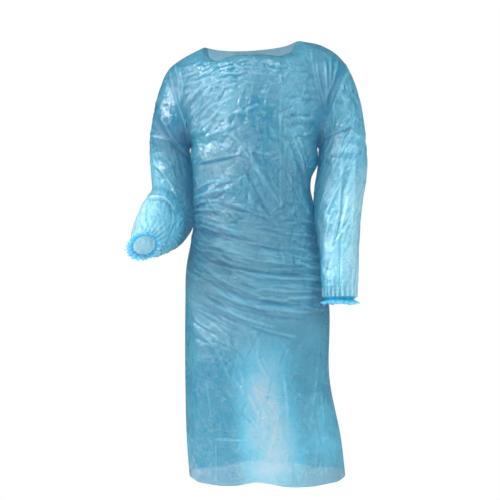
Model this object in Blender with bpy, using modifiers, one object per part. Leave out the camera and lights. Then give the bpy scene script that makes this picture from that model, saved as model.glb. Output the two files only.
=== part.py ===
"""Disposable protective smock of thin plastic film: over-the-head front and back panels,
two long loose sleeves and two shirred elastic cuffs, standing open as when worn.

Metres, +Z up. The front faces -Y. The origin is between the shoulders at the base of the
neck, where the smock is held up. Left and right are the viewer's, looking at the front.
"""

import math
from collections import namedtuple

import bpy
import numpy as np

# Driving dimensions
WALL = 0.0012
SEAM_GAP = 0.0003
ARMHOLE_GAP = 0.0008
CUFF_GAP = 0.0006
HEM_HEIGHT = -1.125
UNDERARM_HEIGHT = -0.255
ARMHOLE_HALF_DEPTH = 0.084
CUFF_LENGTH = 0.017
RUFFLE_WAVES = 22
RUFFLE_HEIGHT = 0.0032
RUFFLE_FLARE = 0.0065
RUFFLE_UNEVENNESS = 0.45
RUFFLE_DRIFTS = 3

# Faces across, up and around the pieces
PANEL_COLUMNS = 28
SHOULDER_COLUMNS = 5
YOKE_ROWS = 12
SLEEVE_ROWS = 17
CUFF_ROWS = 3
CUFF_COLUMNS = 4 * RUFFLE_WAVES
SLEEVE_COLUMNS = 2 * YOKE_ROWS

# Heights between which the body's rows of faces are evenly spread
RowBand = namedtuple("RowBand", "low high rows")
ROW_BANDS = (
    RowBand(HEM_HEIGHT, -0.70, 7),
    RowBand(-0.70, -0.44, 16),
    RowBand(-0.44, UNDERARM_HEIGHT, 7),
)

# Level sections of the body, from the hem up to the underarms. square 2 is an ellipse.
BodySection = namedtuple("BodySection", "height centre half_width front back square")
BODY = (
    BodySection(HEM_HEIGHT, 0.041, 0.206, 0.166, 0.172, 2.15),
    BodySection(-1.030, 0.032, 0.204, 0.163, 0.168, 2.15),
    BodySection(-0.875, 0.015, 0.191, 0.157, 0.160, 2.20),
    BodySection(-0.668, 0.014, 0.190, 0.152, 0.152, 2.20),
    BodySection(-0.583, 0.010, 0.184, 0.148, 0.144, 2.20),
    BodySection(-0.480, 0.007, 0.164, 0.135, 0.124, 2.25),
    BodySection(-0.411, 0.005, 0.159, 0.141, 0.129, 2.30),
    BodySection(-0.365, 0.000, 0.155, 0.142, 0.134, 2.30),
    BodySection(-0.338, 0.001, 0.157, 0.142, 0.136, 2.30),
    BodySection(-0.305, 0.007, 0.1665, 0.141, 0.138, 2.30),
    BodySection(-0.280, 0.006, 0.1690, 0.139, 0.139, 2.30),
    BodySection(UNDERARM_HEIGHT, 0.006, 0.166, 0.138, 0.140, 2.30),
)

# Points of the shoulders' and neck's outline. depth is towards the front on the front
# panel and towards the back on the back panel.
EdgePoint = namedtuple("EdgePoint", "share x depth height")
LEFT_SHOULDER = (
    EdgePoint(0.0, -0.2290, 0.000, -0.067),
    EdgePoint(0.25, -0.2140, 0.000, -0.047),
    EdgePoint(0.55, -0.1840, 0.000, -0.026),
    EdgePoint(1.0, -0.1170, 0.000, 0.005),
)
RIGHT_SHOULDER = (
    EdgePoint(0.0, 0.1170, 0.000, 0.022),
    EdgePoint(0.45, 0.1780, 0.000, 0.010),
    EdgePoint(0.78, 0.2230, 0.000, -0.014),
    EdgePoint(1.0, 0.2495, 0.000, -0.040),
)
FRONT_NECK = (
    EdgePoint(0.00, -0.1170, 0.0004, 0.005),
    EdgePoint(0.08, -0.1110, 0.044, -0.025),
    EdgePoint(0.18, -0.0900, 0.069, -0.041),
    EdgePoint(0.35, -0.0460, 0.085, -0.029),
    EdgePoint(0.50, -0.0050, 0.087, -0.027),
    EdgePoint(0.65, 0.0330, 0.085, -0.027),
    EdgePoint(0.82, 0.0760, 0.070, -0.026),
    EdgePoint(0.92, 0.1030, 0.044, -0.010),
    EdgePoint(1.00, 0.1170, 0.0004, 0.022),
)
BACK_NECK = (
    EdgePoint(0.00, -0.1170, 0.000, 0.005),
    EdgePoint(0.15, -0.0900, 0.040, 0.006),
    EdgePoint(0.50, 0.0000, 0.066, 0.009),
    EdgePoint(0.85, 0.0930, 0.040, 0.018),
    EdgePoint(1.00, 0.1170, 0.000, 0.022),
)

# Armholes, from the underarm up to the shoulder's tip
Armhole = namedtuple("Armhole", "side underarm_x tip_x tip_height")
LEFT_ARMHOLE = Armhole(-1, -0.1605, -0.2290, -0.067)
RIGHT_ARMHOLE = Armhole(1, 0.172, 0.2495, -0.040)

# Rings of the sleeves after the armhole. lean lifts the outer end of a ring's width above
# its inner end, and pitch turns its depth from level towards the ground, in degrees.
SleeveRing = namedtuple("SleeveRing", "along x y height lean pitch half_width half_depth")
LEFT_RINGS = (
    SleeveRing(0.12, -0.2110, 0.003, -0.210, 50, 2, 0.072, 0.077),
    SleeveRing(0.25, -0.2146, 0.026, -0.276, 38, 6, 0.0725, 0.070),
    SleeveRing(0.38, -0.2146, 0.038, -0.344, 37, 14, 0.0727, 0.069),
    SleeveRing(0.52, -0.2120, 0.032, -0.414, 36, 28, 0.0685, 0.082),
    SleeveRing(0.65, -0.2220, -0.016, -0.443, 29, 40, 0.062, 0.096),
    SleeveRing(0.79, -0.2400, -0.080, -0.470, 14, 48, 0.057, 0.086),
    SleeveRing(0.91, -0.2560, -0.138, -0.500, -2, 51, 0.051, 0.062),
    SleeveRing(1.00, -0.2668, -0.184, -0.516, -10, 51, 0.037, 0.038),
)
RIGHT_RINGS = (
    SleeveRing(0.10, 0.2300, -0.002, -0.195, 52, 0, 0.087, 0.078),
    SleeveRing(0.22, 0.2365, -0.016, -0.270, 29, 1, 0.0725, 0.070),
    SleeveRing(0.36, 0.2320, -0.036, -0.351, 17, 4, 0.0720, 0.066),
    SleeveRing(0.51, 0.2241, -0.058, -0.436, 11, 8, 0.0635, 0.060),
    SleeveRing(0.69, 0.2245, -0.082, -0.531, 4, 11, 0.0520, 0.054),
    SleeveRing(0.88, 0.2243, -0.106, -0.612, 0, 9, 0.0474, 0.048),
    SleeveRing(1.00, 0.2240, -0.114, -0.650, 0, 6, 0.0440, 0.042),
)

# Largest folds, placed as they are seen from the front, and from the front through the
# smock for the back: a line from start to end that bows upwards, its half width, and its
# rise off the film. They run across panels and sleeves alike.
Fold = namedtuple("Fold", "start_x start_z end_x end_z bow half_width rise")
FRONT_FOLDS = (
    # waist crease between its two ridges
    Fold(-0.155, -0.450, 0.070, -0.508, -0.005, 0.014, 0.011),
    Fold(-0.155, -0.473, 0.080, -0.532, -0.005, 0.013, -0.019),
    Fold(-0.150, -0.500, 0.090, -0.555, -0.006, 0.014, 0.011),
    # creases slung from the hip under the crossed film
    Fold(-0.140, -0.545, 0.160, -0.591, -0.016, 0.012, -0.013),
    Fold(-0.125, -0.583, 0.165, -0.622, -0.016, 0.013, 0.009),
    Fold(-0.125, -0.606, 0.150, -0.670, -0.018, 0.012, -0.013),
    Fold(-0.135, -0.644, 0.130, -0.707, -0.012, 0.014, -0.009),
    Fold(-0.110, -0.682, 0.105, -0.755, -0.006, 0.016, -0.009),
    # short creases that fan out from the left of the waist
    Fold(-0.152, -0.405, -0.070, -0.350, -0.003, 0.012, 0.011),
    Fold(-0.152, -0.420, -0.070, -0.385, -0.003, 0.011, -0.011),
    Fold(-0.152, -0.432, -0.080, -0.412, -0.002, 0.011, 0.011),
    # chest
    Fold(-0.145, -0.309, -0.030, -0.291, -0.004, 0.013, -0.009),
    Fold(-0.035, -0.265, 0.075, -0.412, 0.004, 0.015, 0.009),
    Fold(-0.025, -0.305, 0.055, -0.456, -0.004, 0.015, -0.009),
    Fold(0.070, -0.220, 0.152, -0.420, 0.012, 0.015, -0.011),
    Fold(-0.182, -0.088, -0.100, -0.078, 0.004, 0.014, -0.009),
    # shoulders, drawn towards the armpits
    Fold(-0.190, -0.050, -0.172, -0.168, 0.006, 0.013, 0.009),
    Fold(-0.214, -0.112, -0.155, -0.246, -0.008, 0.014, -0.011),
    Fold(0.156, -0.036, 0.178, -0.145, -0.008, 0.013, -0.009),
    Fold(0.186, -0.046, 0.190, -0.162, 0.003, 0.012, 0.009),
    Fold(0.212, -0.034, 0.197, -0.130, 0.006, 0.012, -0.009),
    Fold(0.244, -0.042, 0.198, -0.156, -0.010, 0.014, 0.009),
    # left sleeve
    Fold(-0.247, -0.194, -0.156, -0.296, -0.012, 0.013, -0.012),
    Fold(-0.268, -0.236, -0.205, -0.250, 0.000, 0.014, 0.011),
    Fold(-0.264, -0.309, -0.179, -0.440, 0.011, 0.014, -0.012),
    Fold(-0.268, -0.398, -0.191, -0.440, 0.018, 0.014, -0.018),
    Fold(-0.196, -0.462, -0.228, -0.530, 0.004, 0.014, -0.015),
    Fold(-0.262, -0.440, -0.272, -0.500, 0.000, 0.020, 0.007),
    # right sleeve
    Fold(0.178, -0.250, 0.262, -0.215, 0.004, 0.014, -0.012),
    Fold(0.180, -0.290, 0.275, -0.268, 0.004, 0.015, 0.009),
    Fold(0.237, -0.348, 0.221, -0.634, -0.006, 0.014, -0.012),
    Fold(0.262, -0.280, 0.254, -0.600, 0.000, 0.016, 0.009),
)
BACK_FOLDS = (
    Fold(-0.150, -0.455, 0.150, -0.462, -0.012, 0.018, 0.009),
    Fold(-0.150, -0.480, 0.150, -0.486, -0.014, 0.016, -0.011),
    Fold(-0.150, -0.520, 0.155, -0.524, -0.018, 0.016, 0.009),
    Fold(-0.140, -0.570, 0.150, -0.575, -0.022, 0.016, -0.009),
    Fold(-0.175, -0.230, -0.060, -0.080, 0.010, 0.018, -0.009),
    Fold(0.180, -0.225, 0.070, -0.075, -0.010, 0.018, -0.009),
    Fold(-0.165, -0.270, -0.060, -0.170, 0.008, 0.018, 0.009),
    Fold(0.170, -0.265, 0.065, -0.165, -0.008, 0.018, 0.009),
    Fold(-0.080, -0.055, 0.085, -0.050, -0.018, 0.018, 0.007),
    Fold(-0.255, -0.200, -0.165, -0.290, 0.006, 0.015, -0.011),
    Fold(-0.260, -0.330, -0.170, -0.410, 0.006, 0.015, 0.011),
    Fold(0.275, -0.190, 0.180, -0.290, -0.006, 0.015, -0.011),
    Fold(0.285, -0.330, 0.180, -0.400, -0.006, 0.015, 0.009),
    Fold(0.235, -0.420, 0.225, -0.620, 0.004, 0.015, -0.011),
)

# Long upright folds of the skirt that take up the spare width. share runs across the panel.
Drape = namedtuple("Drape", "share half_width at_waist at_hem")
FRONT_DRAPES = (
    Drape(0.20, 0.050, 0.000, 0.008),
    Drape(0.36, 0.060, 0.000, -0.007),
    Drape(0.62, 0.060, 0.000, -0.005),
    Drape(0.80, 0.050, 0.000, 0.008),
)
BACK_DRAPES = (
    Drape(0.16, 0.045, 0.004, 0.012),
    Drape(0.28, 0.040, -0.006, -0.012),
    Drape(0.40, 0.040, 0.008, 0.014),
    Drape(0.50, 0.035, -0.010, -0.014),
    Drape(0.61, 0.040, 0.008, 0.014),
    Drape(0.73, 0.040, -0.006, -0.013),
    Drape(0.85, 0.045, 0.004, 0.011),
)
WAIST_HEIGHT = -0.480
DRAPE_TOP = -0.330

# Hem's rise above its level, by place across the front. The back has a share of it.
HemPoint = namedtuple("HemPoint", "share rise")
HEM_WAVE = (
    HemPoint(0.00, 0.002),
    HemPoint(0.20, 0.000),
    HemPoint(0.36, -0.003),
    HemPoint(0.47, 0.010),
    HemPoint(0.56, -0.002),
    HemPoint(0.80, 0.000),
    HemPoint(1.00, 0.003),
)
HEM_WAVE_REACH = 0.06
BACK_HEM_SHARE = 0.5

# How the shapes ease into each other
SHOULDER_FULLNESS = 0.75
ARMHOLE_SPREAD = 5.0
FOLD_FACING = 0.35
FOLD_OVERRUN = 0.1
FOLD_END = 0.3
SIDE_SEAM_FADE = 0.10
SHOULDER_FADE_ROWS = 3
ARMHOLE_FADE = 0.12
CUFF_FADE = 0.10
SHARE_OF_SHOULDER = SHOULDER_COLUMNS / PANEL_COLUMNS

FILM_COLOUR = (0.150, 0.480, 0.640, 1.0)
CUFF_COLOUR = (0.130, 0.560, 0.740, 1.0)
FILM_ROUGHNESS = 0.32


def curve_through(rows, at):
    """Columns of a table at values of its first column, on a smooth curve through its rows."""
    table = np.array(rows, float)
    key, columns = table[:, 0], table[:, 1:]
    slope = np.gradient(columns, key, axis=0)
    at = np.atleast_1d(np.asarray(at, float))
    row = np.clip(np.searchsorted(key, at) - 1, 0, len(key) - 2)
    span = (key[row + 1] - key[row])[:, None]
    t = ((at - key[row]) / span[:, 0])[:, None]
    start = (1 + 2 * t) * (1 - t) ** 2 * columns[row] + t * (1 - t) ** 2 * span * slope[row]
    end = t**2 * (3 - 2 * t) * columns[row + 1] - t**2 * (1 - t) * span * slope[row + 1]
    return start + end


def smooth_step(value):
    value = np.clip(value, 0.0, 1.0)
    return value * value * (3.0 - 2.0 * value)


def body_arc(height, share, side):
    """Points of the body's section from the left seam to the right one; side -1 is the front."""
    centre, half_width, front, back, square = curve_through(BODY, height)[0]
    depth = front if side < 0 else back
    angle = math.pi * share
    power = 2.0 / square
    x = centre - half_width * np.sign(np.cos(angle)) * np.abs(np.cos(angle)) ** power
    y = side * (SEAM_GAP / 2 + depth * np.abs(np.sin(angle)) ** power)
    return np.stack([x, y, np.full_like(x, height)], axis=1)


def top_edge(share, side):
    """Points along the left shoulder, the neck and the right shoulder."""
    points = []
    for place in share:
        if place < SHARE_OF_SHOULDER:
            found = curve_through(LEFT_SHOULDER, place / SHARE_OF_SHOULDER)[0]
        elif place > 1 - SHARE_OF_SHOULDER:
            found = curve_through(RIGHT_SHOULDER, 1 - (1 - place) / SHARE_OF_SHOULDER)[0]
        else:
            neck = FRONT_NECK if side < 0 else BACK_NECK
            found = curve_through(neck, (place - SHARE_OF_SHOULDER) / (1 - 2 * SHARE_OF_SHOULDER))[0]
        x, depth, height = found
        points.append((x, side * (SEAM_GAP + depth), height))
    return np.array(points)


def armhole_point(armhole, turn, side):
    """A point of the armhole; turn 0 is the underarm and 1 the shoulder's tip."""
    underarm = np.array([armhole.underarm_x, 0.0, UNDERARM_HEIGHT])
    tip = np.array([armhole.tip_x, 0.0, armhole.tip_height])
    angle = math.pi * turn
    point = (underarm + tip) / 2 - (tip - underarm) / 2 * math.cos(angle)
    point[1] = side * (SEAM_GAP / 2 * (1 + turn) + ARMHOLE_HALF_DEPTH * math.sin(angle))
    return point


def body_heights():
    heights = [HEM_HEIGHT]
    for band in ROW_BANDS:
        heights.extend(np.linspace(band.low, band.high, band.rows + 1)[1:])
    return heights


def grid_normals(points, closed):
    """Unit normals of a grid of points, by differences between its neighbours."""
    up = np.gradient(points, axis=0)
    if closed:
        across = (np.roll(points, -1, axis=1) - np.roll(points, 1, axis=1)) / 2
    else:
        across = np.gradient(points, axis=1)
    normal = np.cross(across, up)
    return normal / np.linalg.norm(normal, axis=2, keepdims=True)


def fold_rise(x, z, fold):
    """Height of one fold at points given by their place on the panel."""
    run = np.array([fold.end_x - fold.start_x, fold.end_z - fold.start_z])
    length = np.hypot(*run)
    along = ((x - fold.start_x) * run[0] + (z - fold.start_z) * run[1]) / length**2
    off = ((z - fold.start_z) * run[0] - (x - fold.start_x) * run[1]) / length
    off = off - fold.bow * 4 * along * (1 - along)
    started = smooth_step((along + FOLD_OVERRUN) / FOLD_END)
    unfinished = smooth_step((1 + FOLD_OVERRUN - along) / FOLD_END)
    return fold.rise * started * unfinished * np.exp(-((off / fold.half_width) ** 2))


def folded(grid, side_of_normals, closed, edge):
    """The grid with the folds raised or sunk in the faces that look the same way as they do."""
    outward = grid_normals(grid, closed) * side_of_normals
    x, z = grid[..., 0], grid[..., 2]
    rise = np.zeros(x.shape)
    for folds, facing in ((FRONT_FOLDS, -outward[..., 1]), (BACK_FOLDS, outward[..., 1])):
        for fold in folds:
            rise += fold_rise(x, z, fold) * smooth_step(facing / FOLD_FACING)
    return grid + outward * (rise * edge)[..., None]


def panel(side, drapes):
    """Grid of the front (side -1) or back (side 1) panel, from the hem up to the neck."""
    share = np.linspace(0.0, 1.0, PANEL_COLUMNS + 1)
    rows = [body_arc(height, share, side) for height in body_heights()]
    low, top = rows[-1], top_edge(share, side)
    left_pull = ((1 - share) ** ARMHOLE_SPREAD)[:, None]
    right_pull = (share**ARMHOLE_SPREAD)[:, None]
    for step in range(1, YOKE_ROWS + 1):
        turn = step / YOKE_ROWS
        lean = 1 - math.cos(turn * math.pi / 2) ** SHOULDER_FULLNESS
        rise = math.sin(turn * math.pi / 2)
        row = low + (top - low) * np.array([lean, lean, rise])
        left = armhole_point(LEFT_ARMHOLE, turn, side) - row[0]
        right = armhole_point(RIGHT_ARMHOLE, turn, side) - row[-1]
        rows.append(row + left_pull * left + right_pull * right)
    grid = np.array(rows)

    z = grid[..., 2]
    reach = np.clip((DRAPE_TOP - z) / (DRAPE_TOP - WAIST_HEIGHT), 0, 1)
    fall = np.clip((WAIST_HEIGHT - z) / (WAIST_HEIGHT - HEM_HEIGHT), 0, 1)
    rise = np.zeros(z.shape)
    for drape in drapes:
        height = smooth_step(reach) * (drape.at_waist + fall * (drape.at_hem - drape.at_waist))
        rise += height * np.exp(-(((share - drape.share) / drape.half_width) ** 2))
    seam = smooth_step(np.minimum(share, 1 - share) / SIDE_SEAM_FADE)
    steps_down = (len(rows) - 1 - np.arange(len(rows)))[:, None]
    edge = seam * smooth_step(steps_down / SHOULDER_FADE_ROWS)
    grid = grid + grid_normals(grid, closed=False) * -side * (rise * edge)[..., None]
    grid = folded(grid, -side, False, edge)

    hem_rise = curve_through(HEM_WAVE, share)[:, 0] * (1 if side < 0 else BACK_HEM_SHARE)
    grid[..., 2] += hem_rise * np.exp(-(grid[..., 2] - HEM_HEIGHT) / HEM_WAVE_REACH)
    return grid


def ring_points(ring, side, around):
    """Points round one ring of a sleeve, from its outer side by way of the back."""
    x, y, height, lean, pitch, half_width, half_depth = ring
    lean, pitch = math.radians(lean), math.radians(pitch)
    width = np.array([side * math.cos(lean), 0.0, math.sin(lean)]) * half_width
    depth = np.array([0.0, math.cos(pitch), -math.sin(pitch)]) * half_depth
    angle = 2 * math.pi * around[:, None]
    return np.array([x, y, height]) + np.cos(angle) * width + np.sin(angle) * depth


def sleeve_rings(armhole, rings):
    """Table of a sleeve's rings with the armhole as its first."""
    run_x = armhole.side * (armhole.tip_x - armhole.underarm_x)
    run_z = armhole.tip_height - UNDERARM_HEIGHT
    first = SleeveRing(
        along=0.0,
        x=(armhole.tip_x + armhole.underarm_x) / 2,
        y=0.0,
        height=(armhole.tip_height + UNDERARM_HEIGHT) / 2,
        lean=math.degrees(math.atan2(run_z, run_x)),
        pitch=0.0,
        half_width=math.hypot(run_x, run_z) / 2,
        half_depth=ARMHOLE_HALF_DEPTH,
    )
    return (first,) + rings


def sleeve(armhole, rings):
    """Grid of a sleeve from its armhole to its cuff, closed round."""
    table = sleeve_rings(armhole, rings)
    around = np.arange(SLEEVE_COLUMNS) / SLEEVE_COLUMNS
    along = np.linspace(0.0, 1.0, SLEEVE_ROWS + 1)
    grid = np.array([ring_points(ring, armhole.side, around) for ring in curve_through(table, along)])
    ends = smooth_step(along / ARMHOLE_FADE) * smooth_step((1 - along) / CUFF_FADE)
    grid = folded(grid, -armhole.side, True, ends[:, None])
    rise = math.radians(table[0].lean)
    away = np.array([armhole.side * math.sin(rise), 0.0, -math.cos(rise)])
    grid[0] += away * ARMHOLE_GAP
    return grid


def cuff(armhole, rings):
    """Grid of a gathered cuff that flares into a ruffle past its elastic."""
    last = np.array(rings[-1][1:])
    before = np.array(rings[-2][1:])
    axis = (last - before)[:3]
    axis = axis / np.linalg.norm(axis)
    around = np.arange(CUFF_COLUMNS) / CUFF_COLUMNS
    turn = 2 * math.pi * around
    drift = RUFFLE_UNEVENNESS * np.sin(RUFFLE_DRIFTS * turn)
    height = RUFFLE_HEIGHT * (1 - RUFFLE_UNEVENNESS * np.sin(turn + armhole.side) ** 2)
    wave = height * np.cos(RUFFLE_WAVES * turn + drift)
    rows = []
    for step in range(CUFF_ROWS + 1):
        share = step / CUFF_ROWS
        flare = RUFFLE_FLARE * share**2
        ring = last.copy()
        ring[:3] += axis * (CUFF_GAP + CUFF_LENGTH * share)
        ring[5:] += flare
        points = ring_points(ring, armhole.side, around)
        outward = points - ring[:3]
        outward = outward / np.linalg.norm(outward, axis=1, keepdims=True)
        rows.append(points + outward * (wave * share)[:, None])
    return np.array(rows)


def film(name, colour):
    material = bpy.data.materials.new(name)
    material.use_nodes = True
    shader = material.node_tree.nodes["Principled BSDF"]
    shader.inputs["Base Color"].default_value = colour
    shader.inputs["Roughness"].default_value = FILM_ROUGHNESS
    shader.inputs["Metallic"].default_value = 0.0
    return material


def cloth(name, grid, closed, flip, material, collection):
    """A wall of film through a grid of points on its outer face."""
    rows, columns = grid.shape[:2]
    faces = []
    for row in range(rows - 1):
        for column in range(columns if closed else columns - 1):
            beside = (column + 1) % columns
            corners = [
                row * columns + column,
                row * columns + beside,
                (row + 1) * columns + beside,
                (row + 1) * columns + column,
            ]
            faces.append(corners[::-1] if flip else corners)
    mesh = bpy.data.meshes.new(name)
    mesh.from_pydata(grid.reshape(-1, 3).tolist(), [], faces)
    mesh.materials.append(material)
    mesh.shade_smooth()
    piece = bpy.data.objects.new(name, mesh)
    wall = piece.modifiers.new("wall", "SOLIDIFY")
    wall.thickness = WALL
    wall.offset = -1.0
    collection.objects.link(piece)
    return piece


for old in list(bpy.data.objects):
    bpy.data.objects.remove(old)

smock = bpy.data.collections.new("protective_smock")
bpy.context.scene.collection.children.link(smock)
body_film = film("body_film", FILM_COLOUR)
sleeve_film = film("sleeve_film", FILM_COLOUR)
cuff_film = film("cuff_film", CUFF_COLOUR)

cloth("front", panel(-1, FRONT_DRAPES), False, False, body_film, smock)
cloth("back", panel(1, BACK_DRAPES), False, True, body_film, smock)
for word, armhole, rings in (
    ("left", LEFT_ARMHOLE, LEFT_RINGS),
    ("right", RIGHT_ARMHOLE, RIGHT_RINGS),
):
    inward = armhole.side > 0
    cloth(f"sleeve_{word}", sleeve(armhole, rings), True, inward, sleeve_film, smock)
    cloth(f"cuff_{word}", cuff(armhole, rings), True, inward, cuff_film, smock)
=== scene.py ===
import math
from collections import namedtuple

import bpy
import numpy as np
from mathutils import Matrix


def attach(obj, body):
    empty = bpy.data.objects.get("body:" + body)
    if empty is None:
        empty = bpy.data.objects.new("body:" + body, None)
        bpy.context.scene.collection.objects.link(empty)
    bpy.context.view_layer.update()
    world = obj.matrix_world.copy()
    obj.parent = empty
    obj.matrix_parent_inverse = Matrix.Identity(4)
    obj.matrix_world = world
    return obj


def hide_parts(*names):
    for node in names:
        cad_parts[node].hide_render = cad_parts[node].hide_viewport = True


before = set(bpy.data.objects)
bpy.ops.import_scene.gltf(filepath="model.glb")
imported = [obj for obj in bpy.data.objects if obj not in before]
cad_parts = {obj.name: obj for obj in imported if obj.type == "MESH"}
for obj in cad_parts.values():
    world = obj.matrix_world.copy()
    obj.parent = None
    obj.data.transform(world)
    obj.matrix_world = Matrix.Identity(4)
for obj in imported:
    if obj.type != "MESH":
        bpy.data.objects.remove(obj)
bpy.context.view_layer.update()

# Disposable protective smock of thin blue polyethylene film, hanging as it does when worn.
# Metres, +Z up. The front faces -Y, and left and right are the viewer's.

# ---------------------------------------------------------------------------------------------
# Front panel. One piece of blown polyethylene film 0.04 mm thick, cut with half of the
# over-the-head neck and of each armhole, and heat-welded to the back panel along the shoulders
# and the sides. It hangs from the shoulders and is drawn in at the waist.

# Which way panels lie along Y, and sleeves along X
FRONT, BACK = -1, 1
LEFT, RIGHT = -1, 1

HEM_HEIGHT = -1.125
UNDERARM_HEIGHT = -0.255
ARMHOLE_HALF_DEPTH = 0.084
SHARE_OF_SHOULDER = 5 / 28
SHOULDER_FULLNESS = 0.75
ARMHOLE_SPREAD = 5.0
PANEL_COLUMNS = 208
BODY_ROWS = 356
YOKE_ROWS = 92

# Level sections of the body, from the hem up to the underarms. square 2 is an ellipse.
BodySection = namedtuple("BodySection", "height centre half_width front back square")
BODY = (
    BodySection(HEM_HEIGHT, 0.041, 0.206, 0.166, 0.172, 2.15),
    BodySection(-1.030, 0.032, 0.204, 0.163, 0.168, 2.15),
    BodySection(-0.875, 0.015, 0.191, 0.157, 0.160, 2.20),
    BodySection(-0.668, 0.014, 0.190, 0.152, 0.152, 2.20),
    BodySection(-0.583, 0.010, 0.184, 0.148, 0.144, 2.20),
    BodySection(-0.480, 0.007, 0.164, 0.135, 0.124, 2.25),
    BodySection(-0.411, 0.005, 0.159, 0.141, 0.129, 2.30),
    BodySection(-0.365, 0.000, 0.155, 0.142, 0.134, 2.30),
    BodySection(-0.338, 0.001, 0.157, 0.142, 0.136, 2.30),
    BodySection(-0.305, 0.007, 0.1665, 0.141, 0.138, 2.30),
    BodySection(-0.280, 0.006, 0.1690, 0.139, 0.139, 2.30),
    BodySection(UNDERARM_HEIGHT, 0.006, 0.166, 0.138, 0.140, 2.30),
)

# Outline of the shoulders and the neck. depth is towards the front on the front panel and
# towards the back on the back panel.
EdgePoint = namedtuple("EdgePoint", "share x depth height")
LEFT_SHOULDER = (
    EdgePoint(0.0, -0.2290, 0.000, -0.067),
    EdgePoint(0.25, -0.2140, 0.000, -0.047),
    EdgePoint(0.55, -0.1840, 0.000, -0.026),
    EdgePoint(1.0, -0.1170, 0.000, 0.005),
)
RIGHT_SHOULDER = (
    EdgePoint(0.0, 0.1170, 0.000, 0.022),
    EdgePoint(0.45, 0.1780, 0.000, 0.010),
    EdgePoint(0.78, 0.2230, 0.000, -0.014),
    EdgePoint(1.0, 0.2495, 0.000, -0.040),
)
FRONT_NECK = (
    EdgePoint(0.00, -0.1170, 0.0004, 0.005),
    EdgePoint(0.08, -0.1110, 0.044, -0.025),
    EdgePoint(0.18, -0.0900, 0.069, -0.041),
    EdgePoint(0.35, -0.0460, 0.085, -0.029),
    EdgePoint(0.50, -0.0050, 0.087, -0.027),
    EdgePoint(0.65, 0.0330, 0.085, -0.027),
    EdgePoint(0.82, 0.0760, 0.070, -0.026),
    EdgePoint(0.92, 0.1030, 0.044, -0.010),
    EdgePoint(1.00, 0.1170, 0.0004, 0.022),
)

# Armholes, from the underarm up to the shoulder's tip
Armhole = namedtuple("Armhole", "side underarm_x tip_x tip_height")
LEFT_ARMHOLE = Armhole(LEFT, -0.1605, -0.2290, -0.067)
RIGHT_ARMHOLE = Armhole(RIGHT, 0.172, 0.2495, -0.040)

# Large folds as seen from the front, across the panel and both sleeves: a line from start to
# end that bows upwards, its half width, and its rise off the film.
Fold = namedtuple("Fold", "start_x start_z end_x end_z bow half_width rise")
FRONT_FOLDS = (
    # waist crease between its two ridges
    Fold(-0.155, -0.450, 0.070, -0.508, -0.005, 0.014, 0.011),
    Fold(-0.155, -0.473, 0.080, -0.532, -0.005, 0.013, -0.019),
    Fold(-0.150, -0.500, 0.090, -0.555, -0.006, 0.014, 0.011),
    # creases slung from the hip
    Fold(-0.140, -0.545, 0.160, -0.591, -0.016, 0.012, -0.013),
    Fold(-0.125, -0.583, 0.165, -0.622, -0.016, 0.013, 0.009),
    Fold(-0.125, -0.606, 0.150, -0.670, -0.018, 0.012, -0.013),
    Fold(-0.135, -0.644, 0.130, -0.707, -0.012, 0.014, -0.009),
    Fold(-0.110, -0.682, 0.105, -0.755, -0.006, 0.016, -0.009),
    # short creases that fan out from the left of the waist
    Fold(-0.152, -0.405, -0.070, -0.350, -0.003, 0.012, 0.011),
    Fold(-0.152, -0.420, -0.070, -0.385, -0.003, 0.011, -0.011),
    Fold(-0.152, -0.432, -0.080, -0.412, -0.002, 0.011, 0.011),
    # chest
    Fold(-0.145, -0.309, -0.030, -0.291, -0.004, 0.013, -0.009),
    Fold(-0.035, -0.265, 0.075, -0.412, 0.004, 0.015, 0.009),
    Fold(-0.025, -0.305, 0.055, -0.456, -0.004, 0.015, -0.009),
    Fold(0.070, -0.220, 0.152, -0.420, 0.012, 0.015, -0.011),
    Fold(-0.182, -0.088, -0.100, -0.078, 0.004, 0.014, -0.009),
    # shoulders, drawn towards the armpits
    Fold(-0.190, -0.050, -0.172, -0.168, 0.006, 0.013, 0.009),
    Fold(-0.214, -0.112, -0.155, -0.246, -0.008, 0.014, -0.011),
    Fold(0.156, -0.036, 0.178, -0.145, -0.008, 0.013, -0.009),
    Fold(0.186, -0.046, 0.190, -0.162, 0.003, 0.012, 0.009),
    Fold(0.212, -0.034, 0.197, -0.130, 0.006, 0.012, -0.009),
    Fold(0.244, -0.042, 0.198, -0.156, -0.010, 0.014, 0.009),
    # left sleeve
    Fold(-0.247, -0.194, -0.156, -0.296, -0.012, 0.013, -0.012),
    Fold(-0.268, -0.236, -0.205, -0.250, 0.000, 0.014, 0.011),
    Fold(-0.264, -0.309, -0.179, -0.440, 0.011, 0.014, -0.012),
    Fold(-0.268, -0.398, -0.191, -0.440, 0.018, 0.014, -0.018),
    Fold(-0.196, -0.462, -0.228, -0.530, 0.004, 0.014, -0.015),
    Fold(-0.262, -0.440, -0.272, -0.500, 0.000, 0.020, 0.007),
    # right sleeve
    Fold(0.178, -0.250, 0.262, -0.215, 0.004, 0.014, -0.012),
    Fold(0.180, -0.290, 0.275, -0.268, 0.004, 0.015, 0.009),
    Fold(0.237, -0.348, 0.221, -0.634, -0.006, 0.014, -0.012),
    Fold(0.262, -0.280, 0.254, -0.600, 0.000, 0.016, 0.009),
)
FOLD_FACING = 0.35
FOLD_OVERRUN = 0.1
FOLD_END = 0.3
# Share of its rise in the table that a ridge has, and of its rise and half width that a crease
# has, and how round a sharp crest is, in metres
RIDGE_SHARE = 0.38
CREASE_SHARE = 0.48
CREST_ROUNDING = 0.0008

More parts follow.
